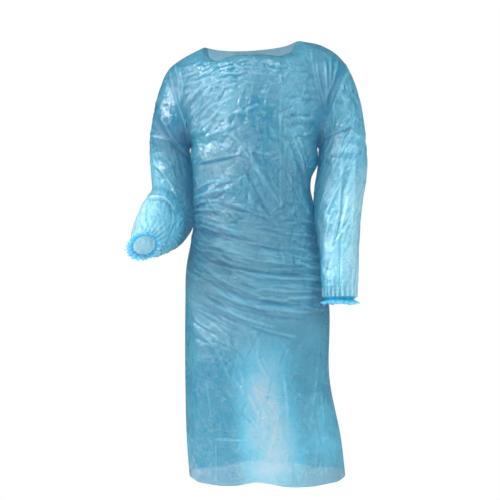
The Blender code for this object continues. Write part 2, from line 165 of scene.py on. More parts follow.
# Narrow creases with a sharp crest that stand on those folds, in the same columns
FRONT_CREASES = (
    # sunburst at the left of the waist
    Fold(-0.146, -0.376, -0.082, -0.350, 0.003, 0.005, 0.0062),
    Fold(-0.149, -0.396, -0.076, -0.378, 0.002, 0.005, 0.0068),
    Fold(-0.150, -0.413, -0.090, -0.403, 0.001, 0.004, 0.0064),
    Fold(-0.150, -0.426, -0.080, -0.430, 0.002, 0.004, 0.0054),
    Fold(-0.149, -0.438, -0.064, -0.462, 0.003, 0.004, 0.0046),
    # waist
    Fold(-0.150, -0.449, -0.030, -0.492, 0.004, 0.005, 0.0048),
    Fold(-0.118, -0.484, 0.075, -0.526, -0.004, 0.003, 0.0054),
    Fold(-0.140, -0.462, -0.085, -0.486, 0.002, 0.003, 0.0045),
    Fold(-0.137, -0.512, -0.080, -0.520, -0.003, 0.004, 0.0045),
    Fold(-0.120, -0.528, 0.110, -0.566, -0.006, 0.004, 0.0035),
    # under the waist
    Fold(-0.115, -0.562, 0.165, -0.606, -0.010, 0.004, 0.0045),
    Fold(-0.105, -0.592, 0.010, -0.640, -0.004, 0.004, 0.0038),
    Fold(-0.112, -0.625, 0.040, -0.682, -0.006, 0.004, 0.0042),
    Fold(-0.060, -0.642, 0.145, -0.690, -0.010, 0.004, 0.0038),
    Fold(-0.110, -0.662, 0.060, -0.726, -0.006, 0.004, 0.0038),
    Fold(0.040, -0.555, 0.168, -0.572, 0.003, 0.004, 0.0035),
    Fold(0.060, -0.604, 0.168, -0.607, 0.002, 0.004, 0.0038),
    Fold(0.050, -0.632, 0.165, -0.636, -0.002, 0.004, 0.0038),
    Fold(0.080, -0.655, 0.160, -0.650, 0.002, 0.004, 0.0032),
    Fold(-0.020, -0.712, 0.120, -0.752, -0.004, 0.005, 0.0029),
    Fold(-0.110, -0.758, -0.056, -0.859, 0.004, 0.006, 0.0026),
    # chest: the step fold, the long diagonals and a packing crease down the right
    Fold(-0.140, -0.306, -0.028, -0.288, 0.002, 0.003, 0.0034),
    Fold(-0.006, -0.274, 0.054, -0.290, -0.003, 0.003, 0.0026),
    Fold(-0.060, -0.232, 0.000, -0.285, 0.002, 0.004, 0.0026),
    Fold(-0.030, -0.262, 0.040, -0.380, 0.003, 0.004, 0.0030),
    Fold(0.000, -0.290, 0.074, -0.420, -0.003, 0.004, 0.0026),
    Fold(0.072, -0.222, 0.108, -0.290, 0.002, 0.004, 0.0030),
    Fold(0.100, -0.230, 0.150, -0.400, 0.006, 0.005, 0.0024),
    Fold(0.071, -0.125, 0.072, -0.430, 0.000, 0.002, 0.0016),
    Fold(-0.120, -0.240, -0.070, -0.226, 0.002, 0.004, 0.0026),
    # drawn across from the left shoulder
    Fold(-0.186, -0.086, -0.112, -0.074, 0.003, 0.004, 0.0034),
    Fold(-0.170, -0.106, -0.060, -0.084, 0.004, 0.004, 0.0030),
    Fold(-0.150, -0.062, -0.030, -0.052, 0.004, 0.004, 0.0020),
    Fold(-0.130, -0.118, -0.050, -0.090, 0.003, 0.003, 0.0026),
    Fold(-0.080, -0.064, 0.070, -0.072, 0.004, 0.005, 0.0016),
    Fold(-0.020, -0.084, 0.110, -0.094, 0.006, 0.005, 0.0014),
    # crinkles over the left of the chest
    Fold(-0.165, -0.150, -0.132, -0.112, 0.000, 0.003, 0.0024),
    Fold(-0.150, -0.162, -0.110, -0.122, 0.001, 0.003, 0.0024),
    Fold(-0.146, -0.184, -0.104, -0.146, 0.000, 0.003, 0.0026),
    Fold(-0.140, -0.204, -0.096, -0.156, 0.001, 0.003, 0.0026),
    Fold(-0.132, -0.220, -0.092, -0.180, -0.001, 0.003, 0.0026),
    Fold(-0.122, -0.232, -0.100, -0.198, 0.000, 0.003, 0.0028),
    # right shoulder
    Fold(0.154, -0.018, 0.176, -0.150, -0.004, 0.004, 0.0056),
    Fold(0.166, -0.040, 0.184, -0.150, -0.003, 0.003, 0.0048),
    Fold(0.188, -0.040, 0.190, -0.165, 0.002, 0.003, 0.0054),
    Fold(0.204, -0.030, 0.194, -0.140, 0.003, 0.003, 0.0048),
    Fold(0.222, -0.030, 0.196, -0.130, 0.004, 0.003, 0.0046),
    Fold(0.247, -0.070, 0.202, -0.166, -0.004, 0.004, 0.0056),
    # left shoulder
    Fold(-0.200, -0.046, -0.184, -0.160, 0.005, 0.004, 0.0054),
    Fold(-0.214, -0.060, -0.160, -0.236, -0.006, 0.004, 0.0056),
    Fold(-0.186, -0.060, -0.178, -0.140, 0.004, 0.003, 0.0044),
    # left sleeve
    Fold(-0.240, -0.176, -0.160, -0.286, -0.008, 0.004, 0.0052),
    Fold(-0.266, -0.228, -0.214, -0.244, 0.002, 0.004, 0.0052),
    Fold(-0.262, -0.300, -0.186, -0.420, 0.010, 0.004, 0.0046),
    Fold(-0.256, -0.330, -0.200, -0.372, 0.004, 0.003, 0.0026),
    Fold(-0.266, -0.392, -0.194, -0.430, 0.016, 0.003, 0.0052),
    Fold(-0.200, -0.466, -0.226, -0.524, 0.003, 0.004, 0.0028),
    # right sleeve
    Fold(0.186, -0.242, 0.250, -0.214, 0.003, 0.004, 0.0030),
    Fold(0.236, -0.300, 0.224, -0.460, -0.004, 0.004, 0.0026),
    Fold(0.226, -0.460, 0.220, -0.630, -0.003, 0.004, 0.0030),
    Fold(0.262, -0.290, 0.252, -0.480, 0.003, 0.005, 0.0020),
    # flat packing creases of the skirt
    Fold(-0.099, -1.010, -0.018, -1.010, 0.000, 0.002, 0.0014),
    Fold(-0.091, -1.010, -0.091, -1.120, 0.000, 0.002, 0.0014),
    Fold(-0.119, -0.860, -0.100, -0.990, 0.002, 0.004, 0.0016),
    Fold(0.078, -0.840, 0.090, -0.960, 0.002, 0.004, 0.0014),
)

# Families of small crumples, each strewn over a part of the front as it is seen. lean is how
# a crumple's line rises to the right, in degrees.
Crumples = namedtuple("Crumples", "count low_x high_x low_z high_z lean spread length half_width rise")
FRONT_CRUMPLES = (
    # small crinkles drawn up to the right over the left of the chest
    Crumples(60, -0.175, -0.050, -0.240, -0.090, 46, 18, 0.030, 0.0026, 0.0014),
    Crumples(50, -0.175, -0.020, -0.120, -0.050, 16, 20, 0.045, 0.0030, 0.0014),
    # chest and belly
    Crumples(320, -0.170, 0.170, -0.460, -0.040, 60, 80, 0.028, 0.0026, 0.0010),
    Crumples(70, -0.160, 0.160, -0.250, -0.060, 4, 22, 0.055, 0.0036, 0.0012),
    Crumples(50, -0.030, 0.130, -0.440, -0.120, 84, 14, 0.050, 0.0026, 0.0010),
    Crumples(50, -0.020, 0.140, -0.460, -0.220, -56, 12, 0.060, 0.0030, 0.0012),
    # waist and hips: long lines that fan out from the left and level out to the right
    Crumples(70, -0.155, 0.020, -0.600, -0.420, -17, 8, 0.085, 0.0028, 0.0018),
    Crumples(70, -0.150, 0.020, -0.760, -0.520, -24, 8, 0.095, 0.0030, 0.0016),
    Crumples(120, 0.000, 0.180, -0.700, -0.460, -5, 8, 0.080, 0.0028, 0.0016),
    Crumples(60, -0.150, -0.030, -0.480, -0.340, -10, 40, 0.040, 0.0032, 0.0018),
    Crumples(50, 0.060, 0.180, -0.560, -0.400, 70, 40, 0.030, 0.0028, 0.0014),
    # skirt
    Crumples(60, -0.190, 0.230, -1.110, -0.740, 84, 24, 0.080, 0.0042, 0.0006),
    Crumples(30, -0.150, 0.040, -0.980, -0.740, 116, 20, 0.050, 0.0034, 0.0007),
    Crumples(150, -0.190, 0.230, -1.110, -0.760, 40, 90, 0.022, 0.0026, 0.0006),
)
# Share of crumples that are ridges, the most that one bows for its half length, and the least
# and most of its family's length, width and rise that it has
RIDGES_AMONG_CRUMPLES = 0.6
CRUMPLE_BOW = 0.2
CRUMPLE_SIZES = (0.5, 1.5)
# How squarely film faces the viewer where a crumple may lie, and how far one reaches past its
# line's ends and, in half widths, off its line
CRUMPLE_FACING = 0.2
CRUMPLE_OVERRUN = 1.3
CRUMPLE_FLANKS = 5

# Long upright folds of the skirt that take up the spare width. share runs across the panel.
Drape = namedtuple("Drape", "share half_width at_waist at_hem")
FRONT_DRAPES = (
    Drape(0.20, 0.050, 0.000, 0.008),
    Drape(0.36, 0.060, 0.000, -0.007),
    Drape(0.62, 0.060, 0.000, -0.005),
    Drape(0.80, 0.050, 0.000, 0.008),
)
WAIST_HEIGHT = -0.480
DRAPE_TOP = -0.330

# Hem's rise above its level, by place across the front. The back has a share of it.
HemPoint = namedtuple("HemPoint", "share rise")
HEM_WAVE = (
    HemPoint(0.00, 0.002),
    HemPoint(0.20, 0.000),
    HemPoint(0.36, -0.003),
    HemPoint(0.47, 0.010),
    HemPoint(0.56, -0.002),
    HemPoint(0.80, 0.000),
    HemPoint(1.00, 0.003),
)
HEM_WAVE_REACH = 0.06
BACK_HEM_SHARE = 0.5
SIDE_SEAM_FADE = 0.10
SHOULDER_FADE = 0.25
CREASE_FADE = 0.012
WELD_WIDTH = 0.0016
WELD_DEPTH = 0.5

# How the film's colour runs over the smock, from 0, deepest, to 1, palest: by height, and at five
# places across from seam to seam. This tone is painted light and shade: deeper towards the seams over
# the chest, and deepest along the right one from under the arm to the hip, as painted shade; paler
# over the left and right of the chest as a painted sheen; palest down the middle of the skirt as
# painted light coming through; and deeper again towards the hem. drawn is how far the crumples are
# drawn out level, and lively how strongly the film is crumpled.
FilmLevel = namedtuple("FilmLevel", "height left_seam left middle right right_seam drawn lively")
FILM_PLACES = (0.0, 0.34, 0.52, 0.70, 1.0)
FILM_LEVELS = (
    FilmLevel(-1.125, 0.38, 0.28, 0.74, 0.40, 0.44, 0.0, 0.5),
    FilmLevel(-1.110, 0.40, 0.30, 0.79, 0.43, 0.47, 0.0, 0.5),
    FilmLevel(-1.095, 0.43, 0.32, 0.84, 0.46, 0.51, 0.0, 0.5),
    FilmLevel(-0.960, 0.47, 0.34, 0.96, 0.50, 0.54, 0.0, 0.45),
    FilmLevel(-0.840, 0.42, 0.34, 0.78, 0.42, 0.56, 0.1, 0.6),
    FilmLevel(-0.740, 0.38, 0.36, 0.50, 0.42, 0.46, 0.5, 0.8),
    FilmLevel(-0.600, 0.36, 0.40, 0.40, 0.42, 0.28, 1.0, 1.0),
    FilmLevel(-0.500, 0.34, 0.40, 0.36, 0.42, 0.18, 1.0, 1.0),
    FilmLevel(-0.420, 0.32, 0.40, 0.34, 0.42, 0.12, 0.6, 1.0),
    FilmLevel(-0.330, 0.34, 0.40, 0.34, 0.46, 0.08, 0.2, 1.0),
    FilmLevel(-0.250, 0.34, 0.50, 0.33, 0.54, 0.08, 0.0, 0.9),
    FilmLevel(-0.150, 0.36, 0.60, 0.34, 0.58, 0.14, 0.0, 0.9),
    FilmLevel(-0.050, 0.42, 0.52, 0.40, 0.50, 0.36, 0.0, 0.9),
    FilmLevel(0.030, 0.48, 0.50, 0.46, 0.48, 0.46, 0.0, 0.9),
)

# Painted light and shade that folds add to that, for broad ones and for narrow crests: how far they
# are compared with the film round them, the height that counts as proud, and the tone that it gives,
# paler on crests and deeper in creases.
PaintedFoldShade = namedtuple("PaintedFoldShade", "spread proud tone")
PAINTED_FOLD_SHADES = (
    PaintedFoldShade(14, 0.0020, 0.15),
    PaintedFoldShade(3, 0.0005, 0.17),
)

# Where crinkles are drawn up to the right, on the left of the chest, and their lean in degrees
SLANT_X = -0.115
SLANT_WIDTH = 0.055
SLANT_HEIGHT = -0.165
SLANT_REACH = 0.065
SLANT_LEAN = 46.0

# Relief of the film's surface. A scale of 24 gives facets 42 mm across and one of 85 gives
# 12 mm. Lines of wrinkles are drawn out to length times their spacing, in metres.
FacetSize = namedtuple("FacetSize", "scale depth")
FACET_SIZES = (FacetSize(24.0, 0.46), FacetSize(85.0, 0.17))
Wrinkles = namedtuple("Wrinkles", "lean length spacing depth")
WRINKLES = (
    Wrinkles(0.0, 6.0, 0.007, 0.40),
    Wrinkles(SLANT_LEAN, 3.5, 0.007, 0.40),
    Wrinkles(0.0, 1.0, 0.0083, 1.0),
)
WRINKLED = {"Detail": 3.0, "Roughness": 0.6, "Distortion": 1.2}
FACET_SHIFT = (0.03, 0.03, 0.03)
CRINKLE_SHARE = 0.35
# Painted highlights on the crinkles: the tint deepens between the crinkle lines, so that the lines
# show paler
CRINKLE_PAINTED_HIGHLIGHT = -1.2

# Patches of uneven film, 71, 67 and 77 mm across: where facets are shifted, where crinkles are
# strong, and haze in the tint and the gloss. Spread is what their low and high values give.
SHIFTS = {"Scale": 14.0, "Detail": 3.0}
PATCHES = {"Scale": 15.0, "Detail": 2.0}
HAZE = {"Scale": 13.0, "Detail": 4.0, "Roughness": 0.6}
Spread = namedtuple("Spread", "low high at_low at_high")
PATCH_CRINKLES = Spread(0.42, 0.62, 0.3, 1.2)
HAZE_TONE = Spread(0.3, 0.7, -0.06, 0.10)
HAZE_ROUGHNESS = Spread(0.3, 0.7, 0.22, 0.36)

# Marks of film that is loose: not drawn out level or up to the right, and crumpled in full
LOOSE_FILM = {"drawn": 0.0, "slant": 0.0, "lively": 1.0}

# What the nodes that are used most are set to do
TIMES = {"operation": "MULTIPLY"}
TIMES_AND_PLUS = {"operation": "MULTIPLY_ADD"}
MIX_COLOURS = {"data_type": "RGBA"}


def curve_through(rows, at):
    """Columns of a table at values of its first column, on a smooth curve through its rows."""
    table = np.array(rows, float)
    key, columns = table[:, 0], table[:, 1:]
    slope = np.gradient(columns, key, axis=0)
    at = np.atleast_1d(np.asarray(at, float))
    row = np.clip(np.searchsorted(key, at) - 1, 0, len(key) - 2)
    span = (key[row + 1] - key[row])[:, None]
    t = ((at - key[row]) / span[:, 0])[:, None]
    start = (1 + 2 * t) * (1 - t) ** 2 * columns[row] + t * (1 - t) ** 2 * span * slope[row]
    end = t**2 * (3 - 2 * t) * columns[row + 1] - t**2 * (1 - t) * span * slope[row + 1]
    return start + end


def smooth_step(value):
    """From 0 to 1 as value goes from 0 to 1, levelling off at both ends."""
    value = np.clip(value, 0.0, 1.0)
    return value * value * (3.0 - 2.0 * value)


def body_arc(height, share, side):
    """Points of the body's section from the left seam to the right one; side is FRONT or BACK."""
    centre, half_width, front, back, square = curve_through(BODY, height)[0]
    depth = front if side == FRONT else back
    angle = math.pi * share
    power = 2.0 / square
    x = centre - half_width * np.sign(np.cos(angle)) * np.abs(np.cos(angle)) ** power
    y = side * depth * np.abs(np.sin(angle)) ** power
    return np.stack([x, y, np.full_like(x, height)], axis=1)


def top_edge(share, side, neck):
    """Points along the left shoulder, the neck and the right shoulder."""
    points = []
    for place in share:
        if place < SHARE_OF_SHOULDER:
            found = curve_through(LEFT_SHOULDER, place / SHARE_OF_SHOULDER)[0]
        elif place > 1 - SHARE_OF_SHOULDER:
            found = curve_through(RIGHT_SHOULDER, 1 - (1 - place) / SHARE_OF_SHOULDER)[0]
        else:
            found = curve_through(neck, (place - SHARE_OF_SHOULDER) / (1 - 2 * SHARE_OF_SHOULDER))[0]
        x, depth, height = found
        points.append((x, side * depth, height))
    return np.array(points)


def armhole_point(armhole, turn, side):
    """A point of the armhole; turn 0 is the underarm and 1 the shoulder's tip."""
    underarm = np.array([armhole.underarm_x, 0.0, UNDERARM_HEIGHT])
    tip = np.array([armhole.tip_x, 0.0, armhole.tip_height])
    angle = math.pi * turn
    point = (underarm + tip) / 2 - (tip - underarm) / 2 * math.cos(angle)
    point[1] = side * ARMHOLE_HALF_DEPTH * math.sin(angle)
    return point


def grid_normals(points, closed):
    """Unit normals of a grid of points, by differences between its neighbours."""
    up = np.gradient(points, axis=0)
    if closed:
        across = (np.roll(points, -1, axis=1) - np.roll(points, 1, axis=1)) / 2
    else:
        across = np.gradient(points, axis=1)
    normal = np.cross(across, up)
    return normal / np.maximum(np.linalg.norm(normal, axis=2, keepdims=True), 1e-12)


def along_and_off(x, z, fold):
    """How far along a fold's line each point lies, from 0 to 1, and its distance off it."""
    run_x, run_z = fold.end_x - fold.start_x, fold.end_z - fold.start_z
    length = math.hypot(run_x, run_z)
    along = ((x - fold.start_x) * run_x + (z - fold.start_z) * run_z) / length**2
    off = ((z - fold.start_z) * run_x - (x - fold.start_x) * run_z) / length
    return along, off - fold.bow * 4 * along * (1 - along)


def ends_of(along):
    """A fold's strength along its line: it fades in and out a little past its two ends."""
    started = smooth_step((along + FOLD_OVERRUN) / FOLD_END)
    return started * smooth_step((1 + FOLD_OVERRUN - along) / FOLD_END)


def sharp_crest(off, half_width):
    """Height across a crease, 1 at its crest: flanks that run out into the film."""
    return np.exp(-(np.sqrt(off**2 + CREST_ROUNDING**2) - CREST_ROUNDING) / half_width)


def fold_rise(x, z, fold):
    """Height of a large fold: film stands in round ridges and sinks in sharp creases."""
    along, off = along_and_off(x, z, fold)
    if fold.rise > 0:
        return RIDGE_SHARE * fold.rise * ends_of(along) * np.exp(-((off / fold.half_width) ** 2))
    return CREASE_SHARE * fold.rise * ends_of(along) * sharp_crest(off, CREASE_SHARE * fold.half_width)


def crease_rise(x, z, crease):
    """Height of a narrow crease."""
    along, off = along_and_off(x, z, crease)
    return crease.rise * ends_of(along) * sharp_crest(off, crease.half_width)


def surface_places(grid):
    """Distance across and up the film for each point of a grid, in metres."""
    across = np.linalg.norm(np.diff(grid, axis=1), axis=2).cumsum(axis=1)
    across = np.pad(across, ((0, 0), (1, 0)))
    up = np.linalg.norm(np.diff(grid, axis=0), axis=2).cumsum(axis=0)
    up = np.pad(up, ((1, 0), (0, 0)))
    middle = grid.shape[1] // 2
    return across - across[:, middle : middle + 1], up


def crumpled(grid, families, facing, chance):
    """Rise of small crumples strewn over a grid, each with its own length, lean and height."""
    across, up = surface_places(grid)
    cell = (up[-1].max() / len(up) + np.ptp(across, axis=1).max() / across.shape[1]) / 2
    x, z = grid[..., 0], grid[..., 2]
    rise = np.zeros(x.shape)
    for family in families:
        inside = (x > family.low_x) & (x < family.high_x) & (z > family.low_z) & (z < family.high_z)
        found = np.argwhere(inside & (facing > CRUMPLE_FACING))
        if not len(found):
            continue
        for row, column in found[chance.integers(len(found), size=family.count)]:
            size = chance.uniform(*CRUMPLE_SIZES, 3)
            lean = math.radians(family.lean + family.spread * chance.uniform(-1, 1))
            half = family.length * size[0] / 2
            width = family.half_width * size[1]
            there = across[row, column], up[row, column]
            start = there[0] - half * math.cos(lean), there[1] - half * math.sin(lean)
            end = there[0] + half * math.cos(lean), there[1] + half * math.sin(lean)
            sign = 1 if chance.random() < RIDGES_AMONG_CRUMPLES else -1
            bow = half * chance.uniform(-CRUMPLE_BOW, CRUMPLE_BOW)
            crumple = Fold(*start, *end, bow, width, sign * family.rise * size[2])
            reach = int((half * CRUMPLE_OVERRUN + CRUMPLE_FLANKS * width) / cell) + 2
            rows = slice(max(row - reach, 0), row + reach)
            columns = slice(max(column - reach, 0), column + reach)
            rise[rows, columns] += crease_rise(across[rows, columns], up[rows, columns], crumple)
    return rise


def panel(side, neck, drapes):
    """Grid of the front or back panel, from the hem up to the neck, and how free its points are
    of the seams."""
    share = np.linspace(0.0, 1.0, PANEL_COLUMNS + 1)
    heights = np.linspace(HEM_HEIGHT, UNDERARM_HEIGHT, BODY_ROWS + 1)
    rows = [body_arc(height, share, side) for height in heights]
    low, top = rows[-1], top_edge(share, side, neck)
    left_pull = ((1 - share) ** ARMHOLE_SPREAD)[:, None]
    right_pull = (share**ARMHOLE_SPREAD)[:, None]
    for step in range(1, YOKE_ROWS + 1):
        turn = step / YOKE_ROWS
        lean = 1 - math.cos(turn * math.pi / 2) ** SHOULDER_FULLNESS
        rise = math.sin(turn * math.pi / 2)
        row = low + (top - low) * np.array([lean, lean, rise])
        left = armhole_point(LEFT_ARMHOLE, turn, side) - row[0]
        right = armhole_point(RIGHT_ARMHOLE, turn, side) - row[-1]
        rows.append(row + left_pull * left + right_pull * right)
    grid = np.array(rows)

    z = grid[..., 2]
    reach = np.clip((DRAPE_TOP - z) / (DRAPE_TOP - WAIST_HEIGHT), 0, 1)
    fall = np.clip((WAIST_HEIGHT - z) / (WAIST_HEIGHT - HEM_HEIGHT), 0, 1)
    rise = np.zeros(z.shape)
    for drape in drapes:
        height = smooth_step(reach) * (drape.at_waist + fall * (drape.at_hem - drape.at_waist))
        rise += height * np.exp(-(((share - drape.share) / drape.half_width) ** 2))
    seam = smooth_step(np.minimum(share, 1 - share) / SIDE_SEAM_FADE)
    to_shoulder = (len(rows) - 1 - np.arange(len(rows)))[:, None] / YOKE_ROWS
    free = seam * smooth_step(to_shoulder / SHOULDER_FADE)
    return grid + grid_normals(grid, closed=False) * -side * (rise * free)[..., None], free


def creased(grid, outward_sign, closed, free, sets):
    """Which way a grid's film faces, and how far its large folds and its creases rise off it.
    sets holds (folds, creases, side), and they show where the film looks to that side."""
    outward = grid_normals(grid, closed) * outward_sign
    x, z = grid[..., 0], grid[..., 2]
    rise = np.zeros(x.shape)
    sharp = np.zeros(x.shape)
    for folds, creases, side in sets:
        facing = smooth_step(side * outward[..., 1] / FOLD_FACING)
        for fold in folds:
            rise += fold_rise(x, z, fold) * facing
        for crease in creases:
            sharp += crease_rise(x, z, crease) * facing
    return outward, rise * free, sharp


def linear(code):
    """An sRGB hex colour in Blender's linear light."""
    parts = [int(code[place : place + 2], 16) / 255 for place in (1, 3, 5)]
    light = [part / 12.92 if part <= 0.04045 else ((part + 0.055) / 1.055) ** 2.4 for part in parts]
    return light + [1.0]


def add_node(tree, kind, fields=(), values=(), feeds=()):
    """Adds a node, sets its fields and the values of its sockets, and links what feeds it: a
    socket, or a node by its first output."""
    made = tree.nodes.new(kind)
    for name, value in dict(fields).items():
        setattr(made, name, value)
    for socket, value in dict(values).items():
        made.inputs[socket].default_value = value
    for socket, source in dict(feeds).items():
        if isinstance(source, bpy.types.Node):
            source = source.outputs[0]
        tree.links.new(source, made.inputs[socket])
    return made


def blown_film(name, stops, weld_colour, relief, opacity, glow):
    """Blown polyethylene film, tinted blue. Its gloss breaks up over crumples and crinkles, some
    light comes through it, and a crimped weld shows as a slightly deeper line."""
    material = bpy.data.materials.new(name)
    material.use_nodes = True
    tree = material.node_tree
    tree.nodes.clear()
    place = add_node(tree, "ShaderNodeTexCoord").outputs["Object"]
    tone, weld, drawn, slant, lively = (
        add_node(tree, "ShaderNodeAttribute", {"attribute_name": mark}).outputs["Fac"]
        for mark in ("tone", "weld", "drawn", "slant", "lively")
    )

    # patches in the relief, the tint and the gloss
    shifts, patches, haze = (
        add_node(tree, "ShaderNodeTexNoise", values=pattern, feeds={"Vector": place})
        for pattern in (SHIFTS, PATCHES, HAZE)
    )
    crinkling, uneven, roughness = (
        add_node(tree, "ShaderNodeMapRange", values=dict(enumerate(spread, 1)), feeds={0: noise})
        for noise, spread in ((patches, PATCH_CRINKLES), (haze, HAZE_TONE), (haze, HAZE_ROUGHNESS))
    )

    # relief: flat facets of crumpled film where it is loose, ridges 7 mm apart drawn out level
    # round the waist and up to the right on the chest, and crinkles of 8 mm and finer in patches
    shifted = add_node(
        tree,
        "ShaderNodeVectorMath",
        TIMES_AND_PLUS,
        {1: FACET_SHIFT},
        {0: shifts.outputs["Color"], 2: place},
    )
    facets = []
    for scale, depth in FACET_SIZES:
        edges = add_node(
            tree,
            "ShaderNodeTexVoronoi",
            {"feature": "DISTANCE_TO_EDGE"},
            {"Scale": scale},
            {"Vector": shifted},
        )
        facets.append(add_node(tree, "ShaderNodeMath", TIMES, {1: depth}, {0: edges}))
    lines = []
    for lean, length, spacing, depth in WRINKLES:
        drawn_out = add_node(
            tree,
            "ShaderNodeMapping",
            {"vector_type": "TEXTURE"},
            {"Rotation": (0.0, -math.radians(lean), 0.0), "Scale": (length, 1.0, 1.0)},
            {"Vector": shifted if length > 1 else place},
        )
        pattern = {"Scale": 1 / spacing, **WRINKLED}
        noise = add_node(tree, "ShaderNodeTexNoise", values=pattern, feeds={"Vector": drawn_out})
        sides = add_node(tree, "ShaderNodeMath", {"operation": "SUBTRACT"}, {1: 0.5}, {0: noise})
        ridges = add_node(tree, "ShaderNodeMath", {"operation": "ABSOLUTE"}, feeds={0: sides})
        lines.append(add_node(tree, "ShaderNodeMath", TIMES, {1: depth}, {0: ridges}))
    form = add_node(tree, "ShaderNodeMath", {"operation": "ADD"}, feeds=dict(enumerate(facets)))
    form = add_node(tree, "ShaderNodeMix", feeds={0: drawn, 2: form, 3: lines[0]})
    form = add_node(tree, "ShaderNodeMix", feeds={0: slant, 2: form, 3: lines[1]})
    crinkle = add_node(tree, "ShaderNodeMath", TIMES, feeds={0: lines[2], 1: crinkling})
    height = add_node(
        tree, "ShaderNodeMath", TIMES_AND_PLUS, {1: CRINKLE_SHARE}, {0: crinkle, 2: form}
    )
    height = add_node(tree, "ShaderNodeMath", TIMES, feeds={0: height, 1: lively})
    bump = add_node(
        tree, "ShaderNodeBump", values={"Strength": 1.0, "Distance": relief}, feeds={"Height": height}
    )

    # colour: the tone carries painted shade in folds, at the seams and under the arms, and painted
    # light where the film stands free and where light comes through; it is uneven all over, with
    # painted highlights along the crinkle lines
    level = add_node(tree, "ShaderNodeMath", {"operation": "ADD"}, feeds={0: tone, 1: uneven})
    level = add_node(
        tree, "ShaderNodeMath", TIMES_AND_PLUS, {1: CRINKLE_PAINTED_HIGHLIGHT}, {0: crinkle, 2: level}
    )
    ramp = add_node(tree, "ShaderNodeValToRGB", feeds={"Fac": level})
    while len(ramp.color_ramp.elements) < len(stops):
        ramp.color_ramp.elements.new(0.5)
    for element, (position, code) in zip(ramp.color_ramp.elements, stops):
        element.position = position
        element.color = linear(code)
    colour = add_node(
        tree, "ShaderNodeMix", MIX_COLOURS, {7: linear(weld_colour)}, {0: weld, 6: ramp}
    ).outputs[2]

    # two glossy faces over the tint, and light that comes through
    film = add_node(
        tree,
        "ShaderNodeBsdfPrincipled",
        values={
            "IOR": 1.51,
            "Specular IOR Level": 1.0,
            "Alpha": opacity,
            "Coat Weight": 1.0,
            "Coat Roughness": 0.14,
            "Coat IOR": 1.7,
        },
        feeds={"Base Color": colour, "Roughness": roughness, "Normal": bump, "Coat Normal": bump},
    )
    through = add_node(tree, "ShaderNodeBsdfTranslucent", feeds={"Color": colour, "Normal": bump})
    mixed = add_node(tree, "ShaderNodeMixShader", values={0: glow}, feeds={1: film, 2: through})
    add_node(tree, "ShaderNodeOutputMaterial", feeds={"Surface": mixed})
    return material


def film_piece(name, grid, material, marks, closed, flip):
    """A sheet of film through a grid of points, closed into a tube or not, with its faces the
    other way round for flip. marks holds values for its points by name, and those that it lacks
    are loose film's."""
    rows, columns = grid.shape[:2]
    index = np.arange(rows * columns).reshape(rows, columns)
    if closed:
        index = np.hstack([index, index[:, :1]])
    corners = np.stack([index[:-1, :-1], index[:-1, 1:], index[1:, 1:], index[1:, :-1]], axis=-1)
    faces = corners.reshape(-1, 4)
    mesh = bpy.data.meshes.new(name)
    mesh.from_pydata(grid.reshape(-1, 3).tolist(), [], (faces[:, ::-1] if flip else faces).tolist())
    for mark, values in {**LOOSE_FILM, **marks}.items():
        values = np.broadcast_to(values, grid.shape[:2]).astype(np.float32).ravel()
        mesh.attributes.new(mark, "FLOAT", "POINT").data.foreach_set("value", values)
    mesh.materials.append(material)
    mesh.shade_smooth()
    piece = bpy.data.objects.new(name, mesh)
    bpy.context.scene.collection.objects.link(piece)
    return piece


def hem_lifted(grid, side):
    """The panel with its hem let up and down a little."""
    share = np.linspace(0.0, 1.0, grid.shape[1])
    hem_rise = curve_through(HEM_WAVE, share)[:, 0] * (1 if side == FRONT else BACK_HEM_SHARE)
    lifted = grid.copy()
    lifted[..., 2] += hem_rise * np.exp(-(grid[..., 2] - HEM_HEIGHT) / HEM_WAVE_REACH)
    return lifted


def seam_distances(grid):
    """Distance of each point from the panel's welded edges: the sides and the shoulders."""
    across, up = surface_places(grid)
    side_seams = np.minimum(across - across[:, :1], across[:, -1:] - across)
    to_top = up[-1:] - up
    share = np.linspace(0.0, 1.0, grid.shape[1])
    on_neck = (share > SHARE_OF_SHOULDER) & (share < 1 - SHARE_OF_SHOULDER)
    return np.minimum(side_seams, np.where(on_neck, np.inf, to_top))


def blurred(values, passes, closed):
    """Values of a grid spread a little further over their neighbours in each pass."""
    for _ in range(passes):
        padded = np.pad(values, ((1, 1), (0, 0)), mode="edge")
        values = (padded[:-2] + 2 * values + padded[2:]) / 4
        padded = np.pad(values, ((0, 0), (1, 1)), mode="wrap" if closed else "edge")
        values = (padded[:, :-2] + 2 * values + padded[:, 2:]) / 4
    return values


def painted_fold_shade(rise, closed):
    """Painted light and shade that folds add to the tone: crests are painted paler and creases deeper
    than the film beside them.
    """
    tone = np.zeros(rise.shape)
    for spread, height, most in PAINTED_FOLD_SHADES:
        proud = (rise - blurred(rise, spread, closed)) / height
        tone += most * proud / np.sqrt(1 + proud**2)
    return tone


def painted_film_tones(height, rise):
    """Marks for a body panel: its tone, with its painted light and shade, how far it is drawn out
    level and how lively it is.
    """
    levels = curve_through(FILM_LEVELS, height.ravel()).reshape(height.shape + (-1,))
    share = np.linspace(0.0, 1.0, height.shape[1])
    step = np.clip(np.searchsorted(FILM_PLACES, share, side="right") - 1, 0, len(FILM_PLACES) - 2)
    places = np.array(FILM_PLACES)
    mix = smooth_step((share - places[step]) / (places[step + 1] - places[step]))
    column = np.arange(len(share))
    tone = levels[:, column, step] * (1 - mix) + levels[:, column, step + 1] * mix
    return {
        "tone": np.clip(tone + painted_fold_shade(rise, closed=False), 0, 1),
        "drawn": np.clip(levels[..., -2], 0, 1),
        "lively": levels[..., -1],
    }


def slanted(grid):
    """How far the crinkles are drawn up to the right: on the left of the chest."""
    off_x = (grid[..., 0] - SLANT_X) / SLANT_WIDTH
    off_z = (grid[..., 2] - SLANT_HEIGHT) / SLANT_REACH
    return np.exp(-(off_x**2) - off_z**2)


